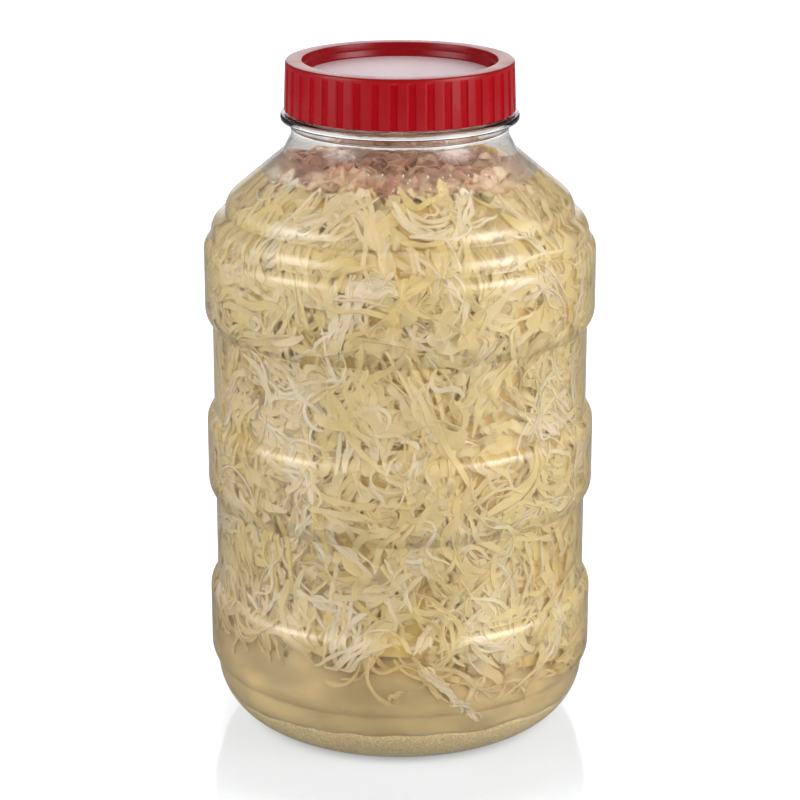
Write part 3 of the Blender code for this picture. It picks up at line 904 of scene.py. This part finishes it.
class JAR_OT_ribbed_cap(bpy.types.Operator):
    """Red screw cap with a sunk panel and forty ribs"""

    bl_idname = "jar.ribbed_cap"
    bl_label = "Ribbed cap"

    def execute(self, context):
        cap = settings("cap_sizes")
        facets_per_rib = 16
        shift = math.radians(-90.0 - 3.2)
        pitch = FULL_TURN / cap.ribs

        def off_groove(spot):
            """Distance from the middle of the nearest groove, as a share of the pitch."""
            angle = math.atan2(spot.y, spot.x)
            return abs((angle - shift + pitch / 2.0) % pitch - pitch / 2.0) / pitch

        panel_z = cap.top_z - cap.panel_depth
        half_z = cap.top_z - 0.5 * cap.panel_depth
        under_z = panel_z - cap.panel_thick
        rows = [(cap.panel_r - 0.0030, panel_z, 0.0), (cap.panel_r - 0.0006, panel_z + 0.0001, 0.0)]
        rows += [(cap.panel_r, panel_z + 0.0006, 0.0), (cap.rim_r - 0.0010, half_z - 0.0002, 0.0)]
        rows += [(cap.rim_r - 0.0008, half_z, 0.0), (cap.rim_r - 0.0003, half_z + 0.0001, 0.0)]
        rows += [(cap.rim_r - 0.0001, half_z + 0.0004, 0.0)]
        rim = arc(cap.rim_r + 0.0005, cap.top_z - 0.0005, 0.0005, math.pi, math.pi / 2, 3)
        rim += arc(cap.top_r - 0.0010, cap.top_z - 0.0010, 0.0010, math.pi / 2, 0.0, 5)
        rows += [(r, z, 0.0) for r, z in rim]
        height = cap.top_z - cap.foot_z
        for share, groove in ((0.075, 0.0), (0.095, 0.6), (0.115, 1.0), (0.5, 1.0), (0.965, 1.0)):
            rows.append((cap.top_r + (cap.foot_r - cap.top_r) * share, cap.top_z - height * share, groove))
        rows += [(cap.foot_r - 0.0002, cap.foot_z + 0.0002, 0.9), (cap.foot_r - 0.0007, cap.foot_z, 0.3)]
        rows += [(cap.skirt_r + 0.0004, cap.foot_z, 0.0), (cap.skirt_r, cap.foot_z + 0.0004, 0.0)]
        rows += [(cap.skirt_r, under_z, 0.0)]
        bm = bmesh.new()
        segments = cap.ribs * facets_per_rib
        bmesh.ops.create_circle(bm, cap_ends=True, segments=segments, radius=rows[0][0])
        edges = bm.edges[:]
        for vert in bm.verts:
            vert.co.z = rows[0][1]
        for radius, z, groove in rows[1:]:
            fresh, edges = next_ring(bm, edges)
            for vert in fresh:
                angle = math.atan2(vert.co.y, vert.co.x)
                edge = min(1.0, max(0.0, (0.5 * cap.groove_share + 0.035 - off_groove(vert.co)) / 0.07))
                dip = cap.groove_depth * groove * edge * edge * (3.0 - 2.0 * edge)
                vert.co = ((radius - dip) * math.cos(angle), (radius - dip) * math.sin(angle), z)
        bmesh.ops.holes_fill(bm, edges=edges, sides=0)
        bmesh.ops.recalc_face_normals(bm, faces=bm.faces)
        for face in bm.faces:
            spot = face.calc_center_median()
            if face.normal.z > 0.9 and spot.z > half_z:
                face.material_index = 1
            elif face.normal.z > 0.9 and spot.z > panel_z - 0.0005:
                face.material_index = 2
            elif abs(face.normal.z) < 0.3 and spot.xy.length > cap.skirt_r + 0.001:
                if off_groove(spot) < 0.5 * cap.groove_share and spot.z < cap.top_z - 0.1 * height:
                    face.material_index = 3
        ribs = red_plastic("red_plastic", 0.0, 0.22, 0.28, 0.36)
        piece = finish_piece("cap_ribbed", bm, ribs, ("lid",), 24.0)
        piece.data.materials.append(red_plastic("red_plastic_rim", 0.35, 0.26, 0.34))
        # Pale colour of the sunk panel at a low angle: painted sheen.
        sheen = settings("jar_colours").cap_sheen
        piece.data.materials.append(red_plastic("red_plastic_panel", 1.0, 0.36, 0.44, 0.9, sheen))
        piece.data.materials.append(red_plastic("red_plastic_groove", 0.0, 0.24, 0.30, 0.06))
        return {"FINISHED"}


class JAR_OT_clear_brine(bpy.types.Operator):
    """Clear brine round the shreds, reaching just into the wall"""

    bl_idname = "jar.clear_brine"
    bl_label = "Clear brine"

    def execute(self, context):
        jar = settings("jar_sizes")
        fill = settings("fill_sizes")
        side = body_side(jar.wall - LIQUID_LAP)
        radii, heights = zip(*reversed(side))
        rim = float(np.interp(fill.level_z + 0.0004, heights, radii))
        side = [(r, z) for r, z in side if z < fill.level_z]
        level = fill.level_z
        points = [(0.0, level - 0.0007), (rim - 0.0040, level - 0.0006), (rim - 0.0014, level - 0.0003)]
        points += [(rim - 0.0004, level + 0.0002), (rim, level + 0.0004)]
        points += side + [(0.0, side[-1][1])]
        finish_piece("brine_clear", spun(points, jar.turns), clear_brine(), (), 35.0)
        return {"FINISHED"}


def uneven_body(inset, foot, top, levels, turns, rings, fade=None):
    """Body behind the wall with uneven faces; fade draws its upper side in."""
    wall = Wall()
    bm = bmesh.new()
    bmesh.ops.create_circle(bm, cap_ends=False, segments=turns, radius=1.0)
    start = bm.edges[:]
    marks = {}

    def mark(verts, share, level):
        for vert in verts:
            marks[vert] = (share, level, math.atan2(vert.co.y, vert.co.x))

    mark(bm.verts, rings[0], 1.0)
    edges = start
    path = [(share, 1.0) for share in rings[1:]] + [(1.0, 1.0 - i / levels) for i in range(levels + 1)]
    path += [(share, 0.0) for share in reversed(rings)]
    for share, level in path:
        fresh, edges = next_ring(bm, edges)
        mark(fresh, share, level)
    bmesh.ops.holes_fill(bm, edges=start + edges, sides=0)
    for vert, (share, level, angle) in marks.items():
        height = 0.5 * (foot(0.0, 0.0) + top(0.0, 0.0))
        for _ in range(5):
            radius = float(wall.radius(height)) - inset(angle, height)
            if fade is not None:
                radius -= fade(angle, height)
            x = radius * share * math.cos(angle)
            y = radius * share * math.sin(angle)
            height = foot(x, y) + level * (top(x, y) - foot(x, y))
        vert.co = (x, y, height)
    bmesh.ops.triangulate(bm, faces=[face for face in bm.faces if len(face.verts) > 4])
    bmesh.ops.recalc_face_normals(bm, faces=bm.faces)
    return bm


class JAR_OT_settled_layers(bpy.types.Operator):
    """Cloudy brine and sediment at the bottom"""

    bl_idname = "jar.settled_layers"
    bl_label = "Cloudy brine and sediment"

    def execute(self, context):
        jar = settings("jar_sizes")
        fill = settings("fill_sizes")
        floor_z = body_side(jar.wall)[-1][1]
        wall = Wall()

        def close(angle, height):
            edge = sediment_top(0.0785 * math.cos(angle), 0.0785 * math.sin(angle))
            rise = min(1.0, max(0.0, (height - edge) / 0.0016 + 1.0))
            return 0.00015 + 0.0013 * rise ** 2

        def straight(angle, height):
            radius = float(wall.radius(height))
            soft = 0.0012
            near = math.exp(-(radius - 0.0006 - fill.cloud_r) / soft)
            return radius - (fill.cloud_r - soft * math.log(near + 1.0))

        def low(x, y):
            return floor_z + 0.0002

        body = uneven_body(close, low, sediment_top, 10, 128, (0.35, 0.7, 0.9))
        finish_piece("sediment_layer", body, sediment_material(), ("sediment",), 60.0)

        def top(x, y):
            return heap_foot(x, y) + 0.010

        def base(x, y):
            return sediment_top(x, y) - 0.0030

        def fade(angle, height):
            edge = heap_foot(GIRTH_R * math.cos(angle), GIRTH_R * math.sin(angle))
            rise = min(1.0, max(0.0, (height - edge + 0.012) / 0.022))
            return 0.0090 * rise ** 1.4

        body = uneven_body(straight, base, top, 22, 128, (0.35, 0.7, 0.92), fade)
        finish_piece("brine_cloudy", body, cloudy_brine(), ("brine",), 60.0)
        return {"FINISHED"}


class JAR_OT_cabbage_core(bpy.types.Operator):
    """Packed core behind the shreds"""

    bl_idname = "jar.cabbage_core"
    bl_label = "Cabbage core"

    def execute(self, context):
        fill = settings("fill_sizes")

        def inset(angle, height):
            lump = math.sin(7.0 * angle + 210.0 * height) + math.sin(11.0 * angle - 170.0 * height + 1.0)
            cone = min(1.0, max(0.0, (height - 0.222) / 0.015))
            return fill.core_inset + 0.0005 * lump + 0.003 * cone

        def foot(x, y):
            return heap_foot(x, y) + 0.002

        def top(x, y):
            return heap_top(x, y) - 0.008

        body = uneven_body(inset, foot, top, 60, 120, (0.3, 0.6, 0.85))
        finish_piece("cabbage_core", body, core_material(), ("sauerkraut",), 60.0)
        return {"FINISHED"}


class JAR_OT_shreds(bpy.types.Operator):
    """Cabbage shreds behind the wall, on top and hanging below"""

    bl_idname = "jar.shreds"
    bl_label = "Cabbage shreds"

    def execute(self, context):
        fill = settings("fill_sizes")
        colours = settings("jar_colours")
        wall = Wall()
        around = FULL_TURN * GIRTH_R

        def foot_at(p):
            angle = girth_angle(p)
            return heap_foot(GIRTH_R * np.cos(angle), GIRTH_R * np.sin(angle))

        def heap_limit(p, q):
            foot = foot_at(p) - 0.004
            return np.clip(q, foot, heap_edge(p))

        path = np.cumsum(np.sqrt(1.0 + wall.slope ** 2))

        def places(rng, count):
            p = rng.uniform(0.0, around, count)
            low = np.interp(foot_at(p) + 0.002, wall.z, path)
            top = np.interp(heap_edge(p) - 0.001, wall.z, path)
            return p, np.interp(low + (top - low) * rng.uniform(0.0, 1.0, count), path, wall.z)

        def sunk(p, q):
            return 0.45 * np.clip(1.0 - (q - foot_at(p) + 0.004) / 0.014, 0.0, 1.0)

        def finish_shreds(name, data, pale, deep, murk_share=0.65):
            tissue = cabbage(name + "_tissue", pale, deep, murk_share)
            finish_mesh(name, ribbon_mesh(name, *data), tissue, (), 55.0)

        width, size = fill.shred_width, fill.shred_length
        base = {
            "parts": 12, "width": width, "length": size, "thick": 0.0006, "spread": 1.1, "bend": 1.2,
            "sway": 0.38, "roll": 0.50, "twist": 1.0, "ruffle": 0.55, "lift": 0.0010, "tuck": 0.0020,
            "heading": flow(3, 70.0, 0.8), "layer": layers(0.0, 0.0060), "bundle": 6, "fade": sunk,
        }
        yellow = {"heading": flow(5, 90.0, 0.8), "layer": layers(0.0006, 0.0066)}
        kinds = [
            ("shreds_cream", 1850, colours.cream, colours.yellow, {}),
            ("shreds_pale", 1850, colours.cream, colours.yellow, {"width": 0.8 * width, "bundle": 10}),
            ("shreds_yellow", 1850, colours.yellow, colours.cream, yellow),
            ("shreds_rib", 1750, colours.white, colours.cream,
             {"width": 0.0015, "thick": 0.0008, "length": 0.024, "bend": 1.1, "twist": 0.8, "parts": 10,
              "ruffle": 0.2, "bundle": 9}),
            ("shreds_fine", 700, colours.white, colours.yellow,
             {"width": 0.0013, "thick": 0.0006, "length": 0.020, "bend": 1.9, "twist": 1.2, "parts": 11,
              "ruffle": 0.3, "bundle": 4, "layer": layers(0.0, 0.0020)}),
            ("shreds_leaf", 1000, colours.cream, colours.yellow,
             {"width": 0.0060, "thick": 0.0005, "length": 0.019, "bend": 1.0, "roll": 0.5, "parts": 12,
              "ruffle": 0.6, "layer": layers(0.0004, 0.0040), "bundle": 2}),
        ]
        for index, (name, count, pale, deep, change) in enumerate(kinds):
            rng = np.random.default_rng(fill.seed + index)
            kind = {**base, **change}
            starts = bundles(rng, *places(rng, count), kind)
            data = lay_ribbons(rng, wall, side_frame, starts, kind, heap_limit)
            finish_shreds(name, data, pale, deep)

        rng = np.random.default_rng(fill.seed + 20)
        count = 700
        angle = rng.uniform(0.0, FULL_TURN, count)
        top_r = float(wall.radius(fill.top_z))
        reach = (top_r - 0.004) * np.sqrt(rng.uniform(0.0, 1.0, count))
        kind = {**base, "layer": layers(-0.0020, 0.004, 1.0), "lift": -0.0055, "roll": 0.9, "tuck": 0.003,
                "width": 0.0060, "length": 0.018, "spread": 1.6, "bundle": 2, "bend": 1.6}
        del kind["fade"]

        def within(far, most):
            return np.minimum(1.0, most / np.maximum(far, 1e-6))

        def inside(p, q):
            return q * within(np.hypot(p, q), top_r - 0.0055)

        starts = bundles(rng, reach * np.cos(angle), reach * np.sin(angle), kind)
        data = lay_ribbons(rng, wall, top_frame, starts, kind, inside)
        corners = data[0]
        corners[..., 2] = np.minimum(corners[..., 2], 0.2585)
        flat = np.hypot(corners[..., 0], corners[..., 1])
        corners[..., :2] *= within(flat, wall.radius(corners[..., 2]) - 0.0010)[..., None]
        finish_shreds("shreds_top", data, colours.shaded, colours.cream, 0.35)

        rng = np.random.default_rng(fill.seed + 30)
        count = 150
        p = rng.uniform(0.0, around, count)
        q = foot_at(p) - 0.002 - 0.010 * rng.uniform(0.0, 1.0, count) ** 1.5
        kind = {**base, "layer": layers(0.0, 0.0016, 1.0), "width": 0.0018, "length": 0.020, "spread": 1.2,
                "lift": 0.0016, "tuck": 0.003, "heading": flow(9, 30.0, 0.4), "bundle": 3}

        def above_sediment(p, q):
            angle = girth_angle(p)
            ground = sediment_top(0.078 * np.cos(angle), 0.078 * np.sin(angle)) + 0.004
            return np.maximum(q, ground)

        data = lay_ribbons(rng, wall, side_frame, bundles(rng, p, q, kind), kind, above_sediment)
        finish_shreds("shreds_hanging", data, colours.cream, colours.yellow, 0.45)

        along = rng.uniform(0.0, 1.0, 40)
        streak = {
            "p": 0.0115 + 0.0225 * along + rng.normal(0.0, 0.0008, len(along)),
            "q": 0.0485 - 0.0265 * along + rng.normal(0.0, 0.0008, len(along)),
            "heading": -0.87 + rng.normal(0.0, 0.2, len(along)),
            "bend": rng.normal(0.0, 0.6, len(along)),
            "depth": rng.uniform(0.0, 0.0006, len(along)),
        }
        kind = {**kind, "width": 0.0012, "length": 0.0085, "lift": 0.0004, "tuck": 0.0004, "parts": 8}
        data = lay_ribbons(rng, wall, side_frame, streak, kind, above_sediment)
        finish_shreds("shreds_streak", data, colours.white, colours.cream, 0.2)
        return {"FINISHED"}


class JAR_OT_bubbles(bpy.types.Operator):
    """Small bubbles against the wall, and drops on it over the brine"""

    bl_idname = "jar.bubbles"
    bl_label = "Bubbles and drops"

    def execute(self, context):
        rng = np.random.default_rng(settings("fill_sizes").seed + 40)
        wall = Wall()
        shown = [
            (-0.0096, 0.2190, 0.0029), (0.0167, 0.2187, 0.0023), (-0.0078, 0.1989, 0.0024),
            (0.0125, 0.1872, 0.0028), (0.0125, 0.1872, 0.0018), (-0.0014, 0.1401, 0.0021),
            (0.0014, 0.1396, 0.0019), (-0.0715, 0.1329, 0.0022), (-0.0921, 0.1413, 0.0020),
            (-0.0810, 0.2240, 0.0023),
        ]
        for _ in range(12):
            shown.append((rng.uniform(0.09, 0.40), rng.uniform(0.08, 0.225), rng.uniform(0.0015, 0.0027)))
        tube = 0.00017

        def seat(bm, verts, p, z, depth):
            """Turn a small shape to face out of the wall at p, z and move it there."""
            point, out = side_frame(wall, np.array(p), np.array(z), np.array(depth))
            turn = Vector(out.tolist()).to_track_quat("Z", "Y").to_matrix()
            bmesh.ops.rotate(bm, verts=verts, cent=(0, 0, 0), matrix=turn)
            bmesh.ops.translate(bm, verts=verts, vec=point.tolist())

        bm = bmesh.new()
        for p, z, radius in shown:
            made = bmesh.ops.create_circle(bm, cap_ends=False, segments=8, radius=tube)["verts"]
            edges = list({edge for vert in made for edge in vert.link_edges})
            bmesh.ops.rotate(bm, verts=made, cent=(0, 0, 0), matrix=Matrix.Rotation(math.pi / 2.0, 3, "X"))
            bmesh.ops.translate(bm, verts=made, vec=(radius, 0.0, 0.0))
            full_spin(bm, made + edges, 26)
            seat(bm, [vert for vert in bm.verts if not vert.tag], p, z, 0.00035)
            for vert in bm.verts:
                vert.tag = True
        bmesh.ops.remove_doubles(bm, verts=bm.verts, dist=0.000002)
        bmesh.ops.recalc_face_normals(bm, faces=bm.faces)
        finish_piece("bubbles", bm, bubble_film(), (), 60.0)

        bm = bmesh.new()
        for _ in range(90):
            radius = rng.uniform(0.0002, 0.0006)
            p, z = rng.uniform(-0.22, 0.28), rng.uniform(0.2505, 0.2570)
            made = bmesh.ops.create_icosphere(bm, subdivisions=1, radius=radius)["verts"]
            bmesh.ops.scale(bm, verts=made, vec=(1.0, rng.uniform(1.0, 1.7), 0.6))
            seat(bm, made, p, z, 0.0001)
        bmesh.ops.recalc_face_normals(bm, faces=bm.faces)
        finish_piece("wall_drops", bm, bubble_film(), (), 60.0)
        return {"FINISHED"}


class JAR_OT_stage(bpy.types.Operator):
    """White floor and surround, three softboxes and camera"""

    bl_idname = "jar.stage"
    bl_label = "Stage"

    def execute(self, context):
        scene = context.scene
        stage = settings("stage_settings")
        bm = bmesh.new()
        bmesh.ops.create_grid(bm, x_segments=8, y_segments=8, size=6.0)
        mesh = bpy.data.meshes.new("floor")
        bm.to_mesh(mesh)
        bm.free()
        floor = link_object("floor", mesh)
        material, tree, shader = principled(
            "white_floor", Base_Color=(0.54, 0.56, 0.59, 1.0), Roughness=0.06, IOR=1.45,
            Emission_Color=(0.965, 0.985, 1.0, 1.0),
        )
        path = tree.nodes.new("ShaderNodeLightPath")
        lit = math_node(tree, "MINIMUM", path.outputs["Diffuse Depth"], 1.0)
        lit = math_node(tree, "MULTIPLY", lit, stage.floor_lift)
        # The floor's glow for the camera is low under the jar's base and weaker near the jar than away from
        # it: a painted contact shadow and painted shade round the jar.
        spot = tree.nodes.new("ShaderNodeTexCoord").outputs["Object"]
        far = add(tree, "ShaderNodeVectorMath", {0: spot}, operation="LENGTH").outputs["Value"]
        split = add(tree, "ShaderNodeSeparateXYZ", {"Vector": spot})
        aside = math_node(tree, "ABSOLUTE", split.outputs[0])
        aside = ramp(tree, aside, 0.076, 0.092, 0.0, stage.floor_far)
        outer = ramp(tree, far, 0.100, 0.165, 0.0, stage.floor_far)
        outer = math_node(tree, "MAXIMUM", aside, outer)
        glow = math_node(tree, "ADD", ramp(tree, far, 0.058, 0.073, 0.12, stage.floor_glow), outer)
        seen = math_node(tree, "MULTIPLY", path.outputs["Is Camera Ray"], glow)
        tree.links.new(math_node(tree, "MAXIMUM", seen, lit), shader.inputs["Emission Strength"])
        mesh.materials.append(material)

        world = scene.world or bpy.data.worlds.new("surround")
        scene.world = world
        world.use_nodes = True
        world.cycles.sampling_method = "NONE"
        tree = world.node_tree
        background = tree.nodes["Background"]
        background.inputs["Color"].default_value = (1.0, 1.0, 1.0, 1.0)
        path = tree.nodes.new("ShaderNodeLightPath")
        through = ramp(tree, path.outputs["Glossy Depth"], 0.0, 1.0, 1.0, 0.6)
        through = math_node(tree, "MULTIPLY", through, path.outputs["Is Transmission Ray"])
        seen = math_node(tree, "MAXIMUM", path.outputs["Is Camera Ray"], through)
        aim = tree.nodes.new("ShaderNodeTexCoord").outputs["Generated"]
        split = add(tree, "ShaderNodeSeparateXYZ", {"Vector": aim})
        near = ramp(tree, math_node(tree, "ABSOLUTE", split.outputs[0]), 0.20, 0.34, 1.0, 0.0)
        behind = math_node(tree, "MULTIPLY", near, ramp(tree, split.outputs[1], 0.0, 0.2))
        gloss = math_node(tree, "MULTIPLY", behind, path.outputs["Is Glossy Ray"])
        gloss = math_node(tree, "MULTIPLY", gloss, stage.behind)
        dim = math_node(tree, "ADD", gloss, stage.surround)
        tree.links.new(math_node(tree, "MAXIMUM", dim, seen), background.inputs["Strength"])

        def softbox(name, power, place, target, width, height, soft=0.50):
            light = bpy.data.lights.new(name, "AREA")
            light.shape = "RECTANGLE"
            light.size = width
            light.size_y = height
            light.energy = power
            light.use_nodes = True
            tree = light.node_tree
            place_on = tree.nodes.new("ShaderNodeNewGeometry").outputs["Parametric"]
            split = add(tree, "ShaderNodeSeparateXYZ", {"Vector": place_on})
            glow = 1.0
            for share in split.outputs[:2]:
                edge = math_node(tree, "MINIMUM", share, math_node(tree, "SUBTRACT", 1.0, share))
                glow = math_node(tree, "MULTIPLY", ramp(tree, edge, 0.0, soft, 0.05, 1.0), glow)
            tree.links.new(glow, tree.nodes["Emission"].inputs["Strength"])
            box = link_object(name, light)
            box.location = place
            box.rotation_euler = (Vector(target) - Vector(place)).to_track_quat("-Z", "Y").to_euler()
            return box

        middle = (0.0, 0.0, 0.60)
        softbox("softbox_left", stage.left_box, (-1.38, -0.66, 0.72), middle, 1.9, 1.7)
        softbox("softbox_right", stage.right_box, (1.32, -0.78, 0.72), middle, 1.7, 1.7)
        low = (0.0, 0.0, 0.20)
        back = softbox("softbox_back", stage.back_box, (0.15, 1.45, 1.05), low, 2.2, 1.4)
        back.visible_glossy = False

        camera = bpy.data.cameras.new("camera")
        camera.lens = stage.camera_lens
        camera.sensor_width = 36.0
        camera.clip_start = 0.01
        scene.camera = link_object("camera", camera)
        scene.camera.location = (0.0, -stage.camera_distance, stage.camera_height)
        scene.camera.rotation_euler = (math.pi / 2.0 - stage.camera_pitch, 0.0, 0.0)

        scene.view_settings.view_transform = "Standard"
        scene.view_settings.look = "None"
        scene.cycles.use_denoising = True
        scene.cycles.max_bounces = 8
        scene.cycles.diffuse_bounces = 2
        scene.cycles.glossy_bounces = 3
        scene.cycles.transmission_bounces = 7
        scene.cycles.transparent_max_bounces = 8
        return {"FINISHED"}


class JAR_PT_panel(bpy.types.Panel):
    """Builds the jar piece by piece"""

    bl_idname = "JAR_PT_panel"
    bl_label = "Pickled cabbage jar"
    bl_space_type = "VIEW_3D"
    bl_region_type = "UI"
    bl_category = "Jar"

    def draw(self, context):
        for operator in OPERATORS:
            self.layout.operator(operator.bl_idname)


OPERATORS = (
    JAR_OT_clear_jar,
    JAR_OT_ribbed_cap,
    JAR_OT_clear_brine,
    JAR_OT_settled_layers,
    JAR_OT_cabbage_core,
    JAR_OT_shreds,
    JAR_OT_bubbles,
    JAR_OT_stage,
)


def register():
    for cls in (*GROUPS.values(), *OPERATORS, JAR_PT_panel):
        bpy.utils.register_class(cls)
    for name, cls in GROUPS.items():
        setattr(bpy.types.Scene, name, PointerProperty(type=cls))


def unregister():
    for name in GROUPS:
        delattr(bpy.types.Scene, name)
    for cls in (JAR_PT_panel, *reversed(OPERATORS), *reversed(GROUPS.values())):
        bpy.utils.unregister_class(cls)


def main():
    register()
    bpy.ops.jar.clear_jar()
    bpy.ops.jar.ribbed_cap()
    bpy.ops.jar.clear_brine()
    bpy.ops.jar.settled_layers()
    bpy.ops.jar.cabbage_core()
    bpy.ops.jar.shreds()
    bpy.ops.jar.bubbles()
    bpy.ops.jar.stage()


if __name__ == "__main__":
    main()
